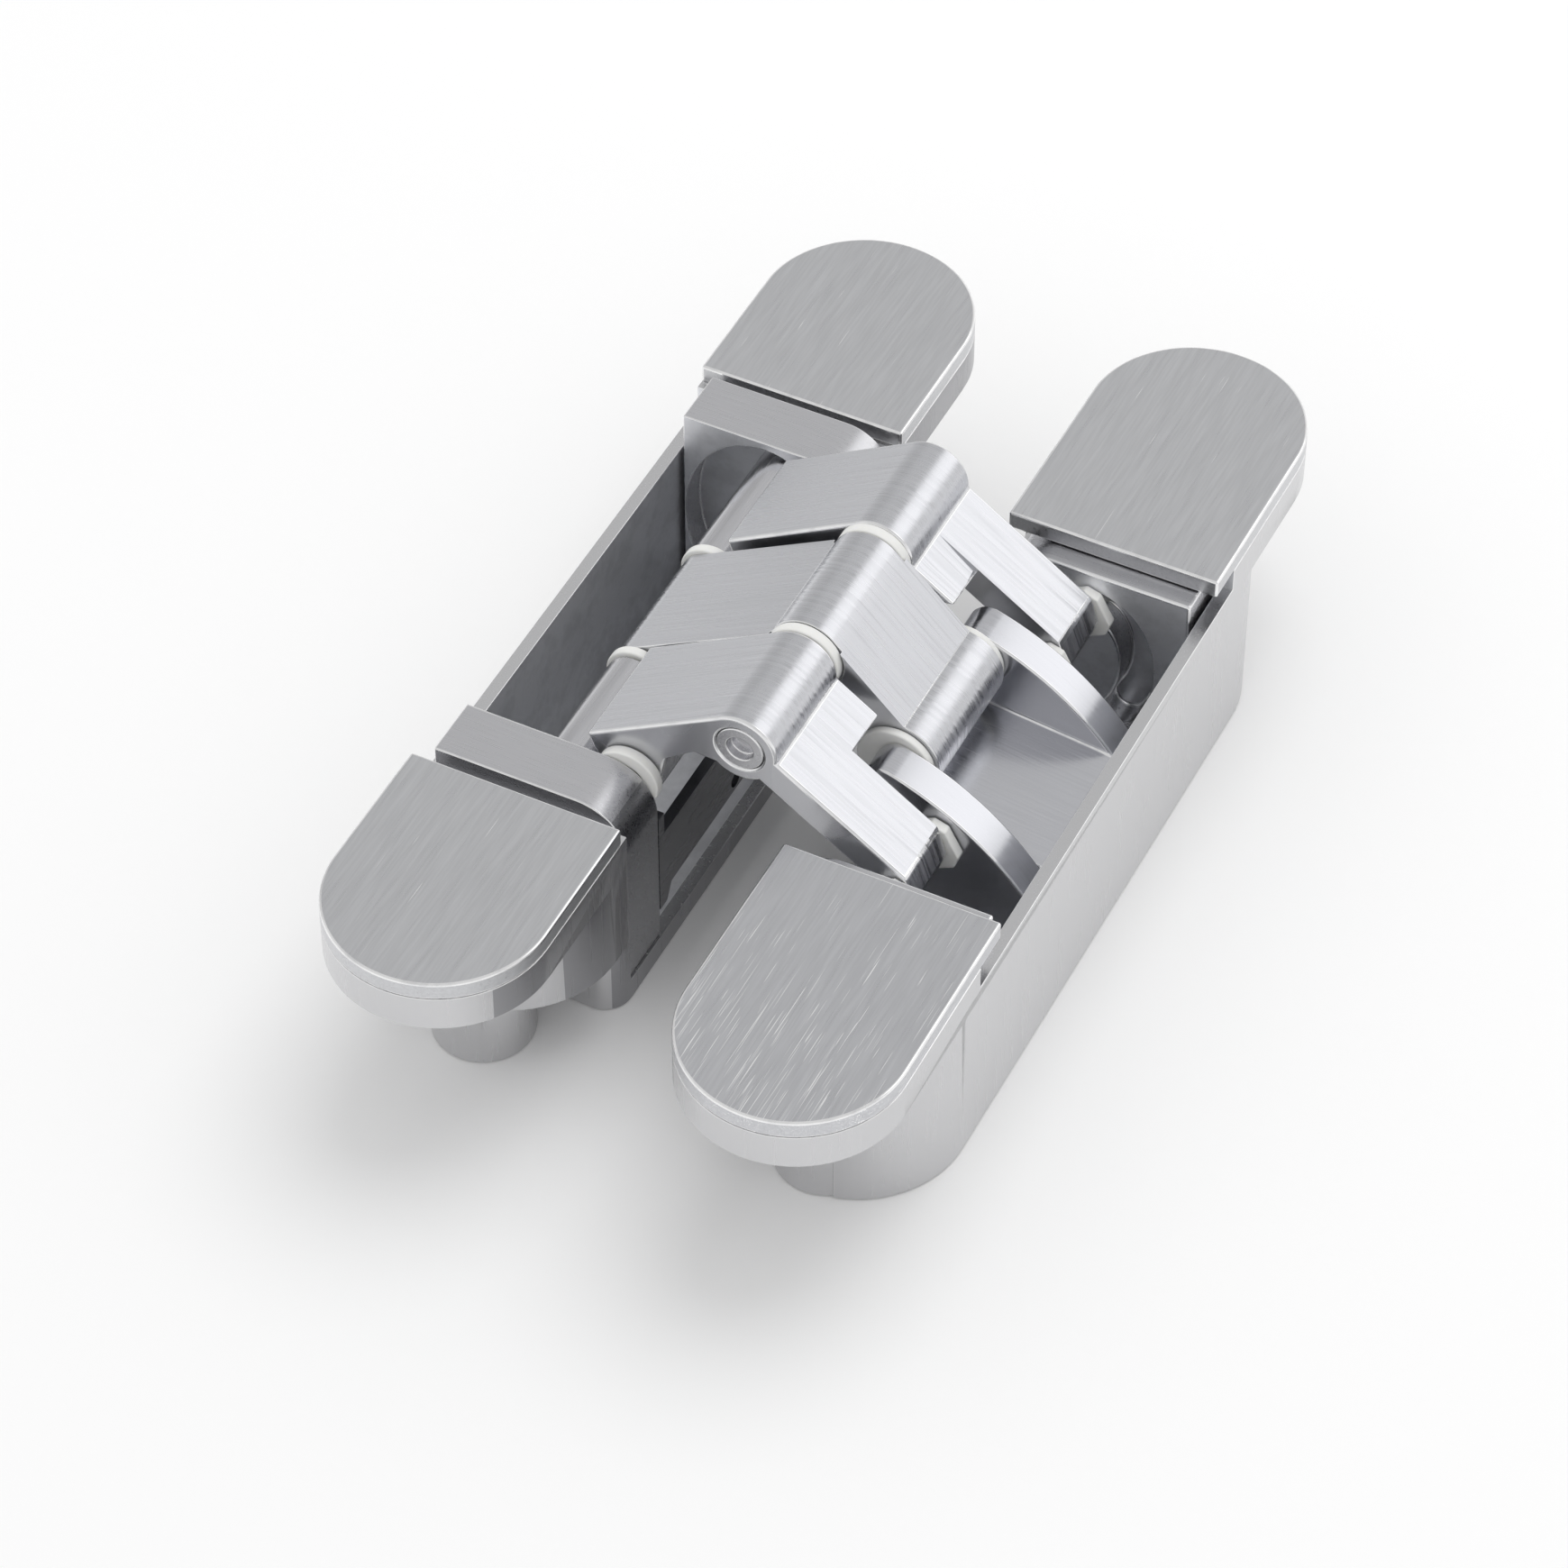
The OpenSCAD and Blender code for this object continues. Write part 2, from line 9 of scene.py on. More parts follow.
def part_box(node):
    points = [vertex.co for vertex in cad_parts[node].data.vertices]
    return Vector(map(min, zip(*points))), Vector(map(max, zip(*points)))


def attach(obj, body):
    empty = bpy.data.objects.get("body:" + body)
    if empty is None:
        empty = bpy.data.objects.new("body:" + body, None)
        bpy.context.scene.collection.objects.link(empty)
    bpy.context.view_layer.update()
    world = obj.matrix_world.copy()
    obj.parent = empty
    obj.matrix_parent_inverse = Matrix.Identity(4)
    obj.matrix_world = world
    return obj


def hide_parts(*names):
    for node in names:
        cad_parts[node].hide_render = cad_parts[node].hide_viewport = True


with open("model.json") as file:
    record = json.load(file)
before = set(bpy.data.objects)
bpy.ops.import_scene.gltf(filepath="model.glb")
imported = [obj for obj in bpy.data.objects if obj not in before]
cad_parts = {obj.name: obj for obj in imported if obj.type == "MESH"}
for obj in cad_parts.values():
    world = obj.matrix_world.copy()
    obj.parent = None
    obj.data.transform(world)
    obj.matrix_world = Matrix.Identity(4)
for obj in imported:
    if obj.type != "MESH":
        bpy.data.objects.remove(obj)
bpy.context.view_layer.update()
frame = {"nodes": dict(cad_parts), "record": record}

NODES = frame["nodes"]
RECORD = frame["record"]
BODY_OF = {node: body for body, group in RECORD["behaviour"]["bodies"].items() for node in group}
SLOT_OF = {row["node"]: row["material_slot"] for row in RECORD["subparts"]}
MM = 0.001
scene = bpy.context.scene


# Camera: a long lens from the front right, looking down on the open hinge
EYE = Vector((0.2445, -0.5035, 0.6019))
SIGHT = Vector((-0.30704, 0.61358, -0.72749))
LENS = 133.1
SENSOR_WIDTH = 36
VIEW_LIMIT = 50


def add_camera():
    data = bpy.data.cameras.new("photo_lens")
    data.lens = LENS
    data.sensor_width = SENSOR_WIDTH
    data.clip_end = VIEW_LIMIT
    camera = bpy.data.objects.new("photo_camera", data)
    camera.location = EYE
    camera.rotation_euler = SIGHT.to_track_quat("-Z", "Y").to_euler()
    scene.collection.objects.link(camera)
    scene.camera = camera


# Node trees
def node_tree(owner):
    owner.use_nodes = True
    owner.node_tree.nodes.clear()
    return owner.node_tree


def add_node(tree, kind, inputs=None, **settings):
    """A new node: settings go on the node itself, inputs on its sockets by name or number."""
    node = tree.nodes.new(kind)
    for name, value in settings.items():
        setattr(node, name, value)
    for entry, value in (inputs or {}).items():
        if isinstance(value, bpy.types.NodeSocket):
            tree.links.new(value, node.inputs[entry])
        else:
            node.inputs[entry].default_value = value
    return node


def maths(tree, operation, *values):
    """The result of a Math node; each value is a number or another node's socket."""
    return add_node(tree, "ShaderNodeMath", dict(enumerate(values)), operation=operation).outputs[0]


def product(tree, first, second):
    return maths(tree, "MULTIPLY", first, second)


def total(tree, first, second):
    return maths(tree, "ADD", first, second)


def difference(tree, first, second):
    return maths(tree, "SUBTRACT", first, second)


def about(tree, value, centre, factor):
    """The value with its distance from the centre multiplied by the factor."""
    return maths(tree, "MULTIPLY_ADD", difference(tree, value, centre), factor, centre)


def remap(tree, value, low, high, to_low=0.0, to_high=1.0):
    """A value taken smoothly from the range low to high to another range."""
    entries = {"Value": value, "From Min": low, "From Max": high, "To Min": to_low, "To Max": to_high}
    return add_node(tree, "ShaderNodeMapRange", entries, interpolation_type="SMOOTHSTEP").outputs[0]


def blend_colours(tree, share, first, second):
    """The first colour where share is 0, the second where it is 1; numbers are the colour sockets."""
    return add_node(tree, "ShaderNodeMix", {0: share, 6: first, 7: second}, data_type="RGBA").outputs[2]


def own_axis(tree, axis):
    """One axis of the piece's own coordinates, in metres."""
    place = add_node(tree, "ShaderNodeTexCoord").outputs["Object"]
    return add_node(tree, "ShaderNodeSeparateXYZ", {0: place}).outputs[axis]


def own_mask(tree, name):
    """The piece's own attribute: 1 on the faces marked with that name, 0 elsewhere."""
    return add_node(tree, "ShaderNodeAttribute", attribute_name=name).outputs["Fac"]


def grey(level, blue=1.0):
    return (level, level, level * blue, 1)


# Studio: white floor, grey room that the metal mirrors, and one soft lamp behind
FLOOR_WHITE = 0.97
FLOOR_HALF = 4.0
FLOOR_DROP = 0.2 * MM
ROOM_ABOVE = 0.68
ROOM_LOW = 0.90
ROOM_TURN = 0.85
# Spots of the room: middle, where the spot starts and is full, and what it adds there
RIGHT_PANEL = (Vector((0.52, 0.60, 0.61)).normalized(), 0.90, 0.98, 0.78)
LEFT_SHADE = (Vector((-0.785, 0.614, 0.079)).normalized(), 0.70, 0.95, -0.21)
FILL = 0.80


def add_floor():
    half_side = FLOOR_HALF
    mesh = bpy.data.meshes.new("studio_floor")
    corners = [(-half_side, -half_side, 0), (half_side, -half_side, 0),
               (half_side, half_side, 0), (-half_side, half_side, 0)]
    mesh.from_pydata(corners, [], [(0, 1, 2, 3)])
    floor = bpy.data.objects.new("studio_floor", mesh)
    floor.location.z = -FLOOR_DROP
    scene.collection.objects.link(floor)
    material = bpy.data.materials.new("studio_floor")
    tree = node_tree(material)
    paint = add_node(tree, "ShaderNodeBsdfPrincipled", {
        "Base Color": grey(FLOOR_WHITE), "Roughness": 0.9, "Specular IOR Level": 0.1})
    add_node(tree, "ShaderNodeOutputMaterial", {"Surface": paint.outputs["BSDF"]})
    mesh.materials.append(material)


def room_spot(tree, direction, spot):
    """What a spot of the room adds, for each direction."""
    middle, start, full, added = spot
    facing = add_node(tree, "ShaderNodeVectorMath", {0: direction, 1: middle}, operation="DOT_PRODUCT")
    return remap(tree, facing.outputs["Value"], start, full, 0.0, added)


def add_room():
    """The metal mirrors the grey room, the camera sees white, and all else is lit by the fill."""
    world = bpy.data.worlds.new("studio_room")
    scene.world = world
    tree = node_tree(world)
    direction = add_node(tree, "ShaderNodeTexCoord").outputs["Generated"]
    height = add_node(tree, "ShaderNodeSeparateXYZ", {0: direction}).outputs["Z"]
    room = remap(tree, height, 0.0, ROOM_TURN, ROOM_LOW, ROOM_ABOVE)
    panel = room_spot(tree, direction, RIGHT_PANEL)
    shade = room_spot(tree, direction, LEFT_SHADE)
    mirrored = total(tree, total(tree, room, panel), shade)
    ray = add_node(tree, "ShaderNodeLightPath")
    lit = maths(tree, "MULTIPLY_ADD", ray.outputs["Is Glossy Ray"], difference(tree, mirrored, FILL), FILL)
    seen = maths(tree, "MULTIPLY_ADD", ray.outputs["Is Camera Ray"], difference(tree, 1.0, lit), lit)
    back = add_node(tree, "ShaderNodeBackground", {"Color": seen})
    add_node(tree, "ShaderNodeOutputWorld", {"Surface": back.outputs["Background"]})


def add_lamp(name, place, size, watts):
    """A round lamp aimed at the origin, which the metal doesn't mirror."""
    data = bpy.data.lights.new(name, "AREA")
    data.shape = "DISK"
    data.size = size
    data.energy = watts
    lamp = bpy.data.objects.new(name, data)
    lamp.location = place
    lamp.rotation_euler = (-Vector(place)).to_track_quat("-Z", "Y").to_euler()
    lamp.visible_glossy = False
    scene.collection.objects.link(lamp)


add_camera()
add_floor()
add_room()
add_lamp("rear_softbox", (0.14, 0.55, 1.45), 1.2, 6.8)


# Finishes that several materials share
SOCKETS = {"float": "NodeSocketFloat", "vector": "NodeSocketVector", "colour": "NodeSocketColor",
           "whole": "NodeSocketInt", "finish": "NodeSocketMaterial", "shape": "NodeSocketGeometry"}


def new_group(name, entries, exits, family="ShaderNodeTree"):
    """An empty node group with its named sockets; each entry is a label, a kind and a value."""
    tree = bpy.data.node_groups.new(name, family)
    for label, kind, value in entries:
        socket = tree.interface.new_socket(label, in_out="INPUT", socket_type=SOCKETS[kind])
        if value is not None:
            socket.default_value = value
    for label, kind in exits:
        tree.interface.new_socket(label, in_out="OUTPUT", socket_type=SOCKETS[kind])
    return tree, tree.nodes.new("NodeGroupInput").outputs


def place_group(tree, group, inputs):
    return add_node(tree, "ShaderNodeGroup", inputs, node_tree=group).outputs


def stretched_noise(tree, scale, detail, spread=1.0):
    """Noise on the piece's own coordinates, with scale cycles per metre along X, Y and Z."""
    place = add_node(tree, "ShaderNodeTexCoord").outputs["Object"]
    stretched = add_node(tree, "ShaderNodeVectorMath", {0: place, 1: scale}, operation="MULTIPLY")
    entries = {"Vector": stretched.outputs[0], "Scale": spread, "Detail": detail, "Roughness": 0.6}
    return add_node(tree, "ShaderNodeTexNoise", entries).outputs["Fac"]


def make_brushed_lines():
    """Fine lines left by brushing: long along the small scales, thin along the large one."""
    fine_share, broad_share, broad_spread = 0.75, 0.25, 0.37
    tree, given = new_group("brushed_lines", [
        ("Lines per Metre", "vector", (100, 3000, 100)), ("Contrast", "float", 2.0)],
        [("Lines", "float")])
    fine = stretched_noise(tree, given["Lines per Metre"], 1)
    broad = stretched_noise(tree, given["Lines per Metre"], 1, broad_spread)
    both = total(tree, product(tree, fine, fine_share), product(tree, broad, broad_share))
    centred = difference(tree, both, 0.5)
    lines = add_node(tree, "ShaderNodeMath", {0: centred, 1: given["Contrast"], 2: 0.5},
                     operation="MULTIPLY_ADD", use_clamp=True).outputs[0]
    add_node(tree, "NodeGroupOutput", {"Lines": lines})
    return tree


def make_scratches():
    """Single brighter scratches in patches, along the small scales; more cover, more scratches."""
    level, lowered, softness = 0.86, 0.17, 0.03
    patches = (420, 40, 420)
    tree, given = new_group("scratches", [
        ("Lines per Metre", "vector", (2500, 80, 2500)), ("Cover", "float", 0.3)], [("Mask", "float")])
    line = stretched_noise(tree, given["Lines per Metre"], 0)
    edge = difference(tree, level, product(tree, given["Cover"], lowered))
    thin = add_node(tree, "ShaderNodeMapRange", {
        "Value": line, "From Min": edge, "From Max": total(tree, edge, softness)}).outputs[0]
    patch = remap(tree, stretched_noise(tree, patches, 1), 0.30, 0.56)
    add_node(tree, "NodeGroupOutput", {"Mask": product(tree, thin, patch)})
    return tree


def make_edge_polish_and_highlight():
    """Edges made bright, partly real polish and partly painted highlight: the piece's own edge attribute,
    broken up a little.
    """
    # The bright edge colour is partly real polish and partly painted highlight
    rubbed_highlight_colour, rubbed_roughness = grey(0.94), 0.14
    tree, given = new_group("edge_polish_and_highlight", [
        ("Colour", "colour", grey(0.6)), ("Roughness", "float", 0.3), ("Polish and Highlight", "float", 0.8)],
        [("Colour", "colour"), ("Roughness", "float")])
    edge = own_mask(tree, "edge")
    edge_breakup = remap(tree, stretched_noise(tree, (350, 350, 350), 3), 0.25, 0.60, 0.55, 1.0)
    share = product(tree, product(tree, edge, edge_breakup), given["Polish and Highlight"])
    # Painted highlight, partly real polish: the edges are blended towards a bright grey
    colour = blend_colours(tree, share, given["Colour"], rubbed_highlight_colour)
    rough = maths(tree, "MULTIPLY_ADD", share, difference(tree, rubbed_roughness, given["Roughness"]),
                  given["Roughness"])
    add_node(tree, "NodeGroupOutput", {"Colour": colour, "Roughness": rough})
    return tree


BRUSHED_LINES = make_brushed_lines()
SCRATCHES = make_scratches()
EDGE_POLISH_AND_HIGHLIGHT = make_edge_polish_and_highlight()

# Where finishes change, and where painted shade darkens the pocket floor, on the axes of the part
CALM_SPAN = (-8 * MM, 1 * MM)
CAP_SPAN = (-36 * MM, -76 * MM)
# Painted shade: the pocket colour is darkened to the share given below the first height, and is full above
# the second
POCKET_FLOOR_SHADE = (3 * MM, 12 * MM, 0.75)
# The raw casting inside the pockets, and the painted shade on the sides in the gap
RAW_MOTTLE = (0.88, 1.05)
RAW_ROUGHNESS = 0.5
# Painted shade colour for the sides at the gap
GAP_SIDE_SHADE_COLOUR = grey(0.36, 1.04)
SCRATCH_COLOUR = grey(0.97)
LINE_CONTRAST = 2.4
SCRATCH_FINENESS = 3.2


def brushed_metal(name, colour, rough, lines, streaks, depth, scratched=None, polish_and_highlight=0.8, inside=None,
                  calm=None):
    """Metal with brushed lines, scratches and bright edges, which are partly real polish and partly
    painted highlight.

    rough is the roughness between and on the lines, streaks how much the lines vary the
    colour, depth their height in millimetres, scratched the cover of scratches at the middle
    and at the front end, inside the colour where the casting is left raw, darkened towards the
    pocket floor as painted shade, and when it is given the sides at the gap get a painted shade
    colour too, calm how much of the lines is left on the left-hand plates.
    """
    material = bpy.data.materials.new(name)
    tree = node_tree(material)
    line = place_group(tree, BRUSHED_LINES, {"Lines per Metre": lines, "Contrast": LINE_CONTRAST})["Lines"]
    if calm is not None:
        line = about(tree, line, 0.5, remap(tree, own_axis(tree, "X"), *CALM_SPAN, calm, 1.0))
    dark = tuple(c * (1 - streaks) for c in colour) + (1,)
    light = tuple(min(1, c * (1 + streaks)) for c in colour) + (1,)
    base = blend_colours(tree, line, dark, light)
    height = line
    roughness = maths(tree, "MULTIPLY_ADD", line, rough[1] - rough[0], rough[0])
    if scratched:
        cover = remap(tree, own_axis(tree, "Y"), *CAP_SPAN, *scratched)
        finer = tuple(SCRATCH_FINENESS * s if s > 1000 else s for s in lines)
        mask = place_group(tree, SCRATCHES, {"Lines per Metre": finer, "Cover": cover})["Mask"]
        base = blend_colours(tree, mask, base, SCRATCH_COLOUR)
        height = difference(tree, height, mask)
    if inside:
        raw = own_mask(tree, "inside")
        mottled = remap(tree, stretched_noise(tree, (260, 260, 260), 5), 0.3, 0.7, *RAW_MOTTLE)
        # Painted shade: the raw colour is darkened towards the pocket floor, where shade falls
        mottle_and_floor_shade = product(tree, mottled, remap(tree, own_axis(tree, "Z"), *POCKET_FLOOR_SHADE, 1.0))
        raw_colour_and_floor_shade = blend_colours(tree, mottle_and_floor_shade, grey(0.0), (*inside, 1))
        base = blend_colours(tree, raw, base, raw_colour_and_floor_shade)
        # Painted shade: the sides that face the gap between the housings get a dark colour
        base = blend_colours(tree, own_mask(tree, "gap"), base, GAP_SIDE_SHADE_COLOUR)
        smooth = difference(tree, 1.0, raw)
        height = product(tree, height, smooth)
        roughness = about(tree, roughness, RAW_ROUGHNESS, smooth)
    # Edges brightened: partly real polish, partly painted highlight
    edged = place_group(tree, EDGE_POLISH_AND_HIGHLIGHT, {"Colour": base, "Roughness": roughness, "Polish and Highlight": polish_and_highlight})
    relief = add_node(tree, "ShaderNodeBump", {"Height": height, "Strength": 1.0, "Distance": depth * MM})
    skin = add_node(tree, "ShaderNodeBsdfPrincipled", {
        "Metallic": 1.0, "Base Color": edged["Colour"], "Roughness": edged["Roughness"],
        "Normal": relief.outputs["Normal"]})
    add_node(tree, "ShaderNodeOutputMaterial", {"Surface": skin.outputs["BSDF"]})
    return material


def nylon(name):
    """Off-white nylon with a faint cloudiness and a moulded grain."""
    material = bpy.data.materials.new(name)
    tree = node_tree(material)
    cloud = stretched_noise(tree, (220, 220, 220), 3)
    colour = blend_colours(tree, cloud, (0.80, 0.80, 0.77, 1), (0.90, 0.90, 0.87, 1))
    grain = stretched_noise(tree, (2600, 2600, 2600), 2)
    relief = add_node(tree, "ShaderNodeBump", {"Height": grain, "Strength": 1.0, "Distance": 0.01 * MM})
    skin = add_node(tree, "ShaderNodeBsdfPrincipled", {
        "Base Color": colour, "Roughness": maths(tree, "MULTIPLY_ADD", cloud, 0.2, 0.33),
        "Normal": relief.outputs["Normal"], "Subsurface Weight": 0.15,
        "Subsurface Radius": (0.004, 0.004, 0.003), "Subsurface Scale": 1.0})
    add_node(tree, "ShaderNodeOutputMaterial", {"Surface": skin.outputs["BSDF"]})
    return material


MATERIALS = {
    "housing_zinc": brushed_metal("housing_zinc", (0.63, 0.63, 0.64), (0.25, 0.28), (1800, 1800, 70),
                                  0.012, 0.0005, polish_and_highlight=0.8, inside=(0.96, 0.97, 1.0)),
    "cap_brushed": brushed_metal("cap_brushed", (0.61, 0.615, 0.63), (0.26, 0.37), (2600, 130, 2600),
                                 0.07, 0.0025, scratched=(0.10, 0.16), polish_and_highlight=1.0),
    "block_brushed": brushed_metal("block_brushed", (0.59, 0.59, 0.61), (0.24, 0.36), (160, 3400, 3400),
                                   0.04, 0.003, inside=(0.96, 0.97, 1.0)),
    "arm_brushed": brushed_metal("arm_brushed", (0.615, 0.62, 0.645), (0.15, 0.40), (60, 1600, 60),
                                 0.06, 0.04, calm=0.35),
    "carrier_satin": brushed_metal("carrier_satin", (0.60, 0.605, 0.635), (0.17, 0.28), (90, 2400, 90),
                                   0.04, 0.005),
    "pin_steel": brushed_metal("pin_steel", (0.60, 0.60, 0.62), (0.18, 0.30), (2600, 120, 2600),
                               0.05, 0.002),
    "nylon_white": nylon("nylon_white"),
}
# Two pieces with a finish of their own: the front right cap with more scratches, and the bridge plate,
# whose dark colour is painted shade
WORN_CAP = brushed_metal("cap_worn", (0.59, 0.595, 0.615), (0.26, 0.37), (2600, 130, 2600),
                         0.07, 0.0025, scratched=(0.45, 1.0), polish_and_highlight=1.0)
# Painted shade: the bridge plate faces the gap and is coloured dark
PAINTED_SHADE_PLATE = brushed_metal("plate_painted_shade", (0.18, 0.18, 0.19), (0.22, 0.30), (120, 120, 1800),
                           0.04, 0.002)


def link_new(name, mesh):
    """A new object at the origin."""
    piece = bpy.data.objects.new(name, mesh)
    scene.collection.objects.link(piece)
    return piece


def make_plain(piece):
    """Turns a piece's modifiers into its mesh."""
    bpy.context.view_layer.update()
    evaluated = piece.evaluated_get(bpy.context.evaluated_depsgraph_get())
    result = bpy.data.meshes.new_from_object(evaluated)
    piece.modifiers.clear()
    piece.data = result
    return result


# Rounded copies of the solids, so that every edge catches the light
# Width of the rounding for each finish, in millimetres
EDGE = {"housing_zinc": 0.3, "cap_brushed": 0.38, "block_brushed": 0.4, "arm_brushed": 0.45,
        "carrier_satin": 0.4, "pin_steel": 0.2, "nylon_white": 0.25}
EDGE_STEPS = 3
EDGE_ANGLE = math.radians(35)
# Tried in turn: the share of that width, and the cuts that split the faces along X and along Z
TRIES = ((1.0, 0), (1.0, 5), (0.6, 0), (0.6, 5), (0.3, 0), (0.3, 5))
CUT_OFFSET = 0.53
FOLD_LIMIT = 3 * MM * MM
# Room for a full rounding, in widths, the least share of it that is rounded, and tight corners
FULL_ROOM = 2.2
LEAST_ROOM = 0.2
TIGHT_CORNER = math.radians(40)
MERGE = 0.002 * MM
FLAT_ANGLE = math.radians(0.8)


def mark(mesh, name, wanted):
    """A float attribute on the mesh, 1 on the faces that are wanted and 0 elsewhere."""
    values = []
    for face in mesh.polygons:
        values.extend([1.0 if wanted(face) else 0.0] * face.loop_total)
    mesh.attributes.new(name, "FLOAT", "CORNER").data.foreach_set("value", values)


def nearest_on(point, start, end):
    """The point of a straight edge that lies nearest to the given point."""
    along = end - start
    share = (point - start).dot(along) / max(along.length_squared, 1e-18)
    return start + along * min(max(share, 0.0), 1.0)


def room_across(loop, creased, reach):
    """How much room a face has on the inner side of one of its edges, up to reach."""
    start, end = loop.vert.co, loop.link_loop_next.vert.co
    inward = loop.face.normal.cross((end - start).normalized())
    room = reach
    for near in (loop.link_loop_prev, loop.link_loop_next):
        if near.edge in creased and near.link_loop_next.edge != near.edge:
            corner = near.calc_angle() if near == loop.link_loop_next else loop.calc_angle()
            if corner < TIGHT_CORNER:
                room = 0.0
    own = set(loop.edge.verts)
    for other in loop.face.loops:
        if other.edge not in creased or own & set(other.edge.verts):
            continue
        first, last = other.vert.co, other.link_loop_next.vert.co
        for point in (start, (start + end) / 2, end):
            gap = nearest_on(point, first, last) - point
            if gap.length < room and gap.dot(inward) > 0.5 * gap.length:
                room = gap.length
    return room


def cut_across(shape, low, high, cuts):
    """Splits the faces along planes square to X and to Z, with nothing moved."""
    for axis in (0, 2):
        for step in range(cuts):
            across = [0.0, 0.0, 0.0]
            across[axis] = 1.0
            place = [0.0, 0.0, 0.0]
            place[axis] = low[axis] + (high[axis] - low[axis]) * (step + CUT_OFFSET) / cuts
            bmesh.ops.bisect_plane(shape, geom=shape.verts[:] + shape.edges[:] + shape.faces[:],
                                   plane_co=place, plane_no=across, dist=MERGE)


def weigh_edges(shape, width):
    """Gives each sharp edge the share of the rounding that its faces have room for."""
    weight = shape.edges.layers.float.new("bevel_weight_edge")
    creased = {edge for edge in shape.edges
               if len(edge.link_faces) == 2 and edge.calc_face_angle() > EDGE_ANGLE}
    reach = FULL_ROOM * width
    for edge in shape.edges:
        edge.smooth = edge not in creased
        if edge in creased:
            room = min(room_across(loop, creased, reach) for loop in edge.link_loops)
            edge[weight] = room / reach if room > LEAST_ROOM * reach else 0.0


def softened(node, width, finish, cuts):
    """A copy of a CAD node with its flat faces joined, then cut across, and its edges rounded."""
    mesh = NODES[node].data.copy()
    low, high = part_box(node)
    shape = bmesh.new()
    shape.from_mesh(mesh)
    bmesh.ops.remove_doubles(shape, verts=shape.verts, dist=MERGE)
    bmesh.ops.dissolve_limit(shape, angle_limit=FLAT_ANGLE, verts=shape.verts, edges=shape.edges)
    cut_across(shape, low, high, cuts)
    for face in shape.faces:
        face.smooth = True
    weigh_edges(shape, width)
    shape.to_mesh(mesh)
    shape.free()
    mesh.materials.clear()
    mesh.materials.append(finish)
    mesh.materials.append(finish)
    piece = link_new(node + "_rounded", mesh)
    edges = piece.modifiers.new("edges", "BEVEL")
    edges.width = width
    edges.segments = EDGE_STEPS
    edges.limit_method = "WEIGHT"
    edges.use_clamp_overlap = False
    edges.harden_normals = True
    edges.material = 1
    result = make_plain(piece)
    for point in result.vertices:
        point.co = [min(max(value, low[i]), high[i]) for i, value in enumerate(point.co)]
    mark(result, "edge", lambda face: face.material_index == 1)
    for face in result.polygons:
        face.material_index = 0
    result.materials.pop(index=1)
    return piece


def folded_area(mesh):
    """How far the flat faces fail to match their triangles, as they do where roundings cross."""
    mesh.calc_loop_triangles()
    filled = [0.0] * len(mesh.polygons)
    for corner in mesh.loop_triangles:
        filled[corner.polygon_index] += corner.area
    return sum(abs(filled[face.index] - face.area) for face in mesh.polygons if face.loop_total > 4)


def rounded(node, width, finish):
    """A copy of a CAD node with rounded edges: the first try whose faces stay whole, or the best."""
    tries = []
    for share, cuts in TRIES:
        piece = softened(node, share * width, finish, cuts)
        tries.append((folded_area(piece.data), len(tries), piece))
        if tries[-1][0] < FOLD_LIMIT:
            break
    best, *others = [entry[-1] for entry in sorted(tries)]
    for piece in others:
        bpy.data.objects.remove(piece)
    best.name = node + "_rounded"
    return best


# Turned rings and screws, grown by geometry nodes at the places where they sit
def half(tree, value):
    return product(tree, value, 0.5)


def set_down(tree, shape, given, turn):
    """The last steps of both trees: one copy of the shape at each place, made real, with its finish."""
    copies = add_node(tree, "GeometryNodeInstanceOnPoints", {
        "Points": given["Places"], "Instance": shape, "Rotation": turn})
    real = add_node(tree, "GeometryNodeRealizeInstances", {"Geometry": copies.outputs["Instances"]})
    smooth = add_node(tree, "GeometryNodeSetShadeSmooth", {"Geometry": real.outputs["Geometry"]})
    done = add_node(tree, "GeometryNodeSetMaterial", {
        "Geometry": smooth.outputs["Geometry"], "Material": given["Finish"]})
    add_node(tree, "NodeGroupOutput", {0: done.outputs["Geometry"]})


def make_ring_tree():
    """A ring about the Y axis with rounded rims: a filleted section carried round a circle."""
    tree, given = new_group("turned_rings", [
        ("Places", "shape", None), ("Bore", "float", 0.005), ("Outside", "float", 0.011),
        ("Thickness", "float", 0.0017), ("Rim", "float", 0.0003), ("Finish", "finish", None)],
        [("Rings", "shape")], "GeometryNodeTree")
    wide = half(tree, difference(tree, given["Outside"], given["Bore"]))
    middle = product(tree, total(tree, given["Outside"], given["Bore"]), 0.25)
    section = add_node(tree, "GeometryNodeCurvePrimitiveQuadrilateral", {
        "Width": wide, "Height": given["Thickness"]})
    rounded_section = add_node(tree, "GeometryNodeFilletCurve", {
        "Curve": section.outputs[0], "Radius": given["Rim"], "Count": 5}, mode="POLY")
    circle = add_node(tree, "GeometryNodeCurvePrimitiveCircle", {"Resolution": 72, "Radius": middle})
    ring = add_node(tree, "GeometryNodeCurveToMesh", {
        "Curve": circle.outputs["Curve"], "Profile Curve": rounded_section.outputs["Curve"]})
    set_down(tree, ring.outputs["Mesh"], given, (math.pi / 2, 0, 0))
    return tree


def lifted(tree, shape, height):
    """A shape moved up by a height."""
    up = add_node(tree, "ShaderNodeCombineXYZ", {"Z": height})
    moved = add_node(tree, "GeometryNodeTransform", {
        "Geometry": shape.outputs["Mesh"], "Translation": up.outputs["Vector"]})
    return moved.outputs["Geometry"]


